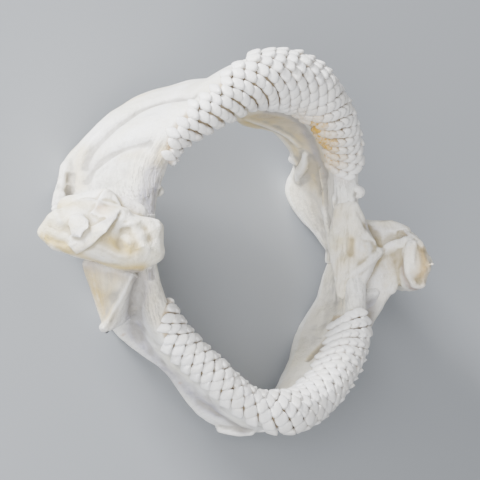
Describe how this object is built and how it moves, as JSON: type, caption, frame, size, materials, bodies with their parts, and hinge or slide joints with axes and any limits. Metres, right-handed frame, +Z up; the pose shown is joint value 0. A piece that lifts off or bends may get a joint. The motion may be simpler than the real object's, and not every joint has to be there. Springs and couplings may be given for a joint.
{
  "type": "stingray jaw",
  "caption": "Dried ray jaw: curved upper and lower cartilages meeting at a lump on each side, their front edges paved with diamond-shaped crushing teeth, lying on its back.",
  "frame": {"origin": "centre of the bounding box at floor level, on the small flats that the jaw rests on", "axes": "+X across the jaw towards its own left side, +Y towards the upper jaw, +Z up, out of the mouth, with the jaw leant back by 22 degrees"},
  "size_m": [0.1128, 0.0844, 0.044],
  "materials": {
    "cartilage": "dried calcified cartilage and enamel-like teeth, satin ivory white",
    "dried_tissue": "dried skin and ligament over the joint, matt ivory with a yellowish tint"
  },
  "bodies": {
    "root": {"upper_jaw_right": "cartilage", "upper_jaw_left": "cartilage", "lower_jaw_right": "cartilage", "lower_jaw_left": "cartilage", "jaw_joint_right": "dried_tissue", "jaw_joint_left": "dried_tissue"}
  },
  "joints": []
}
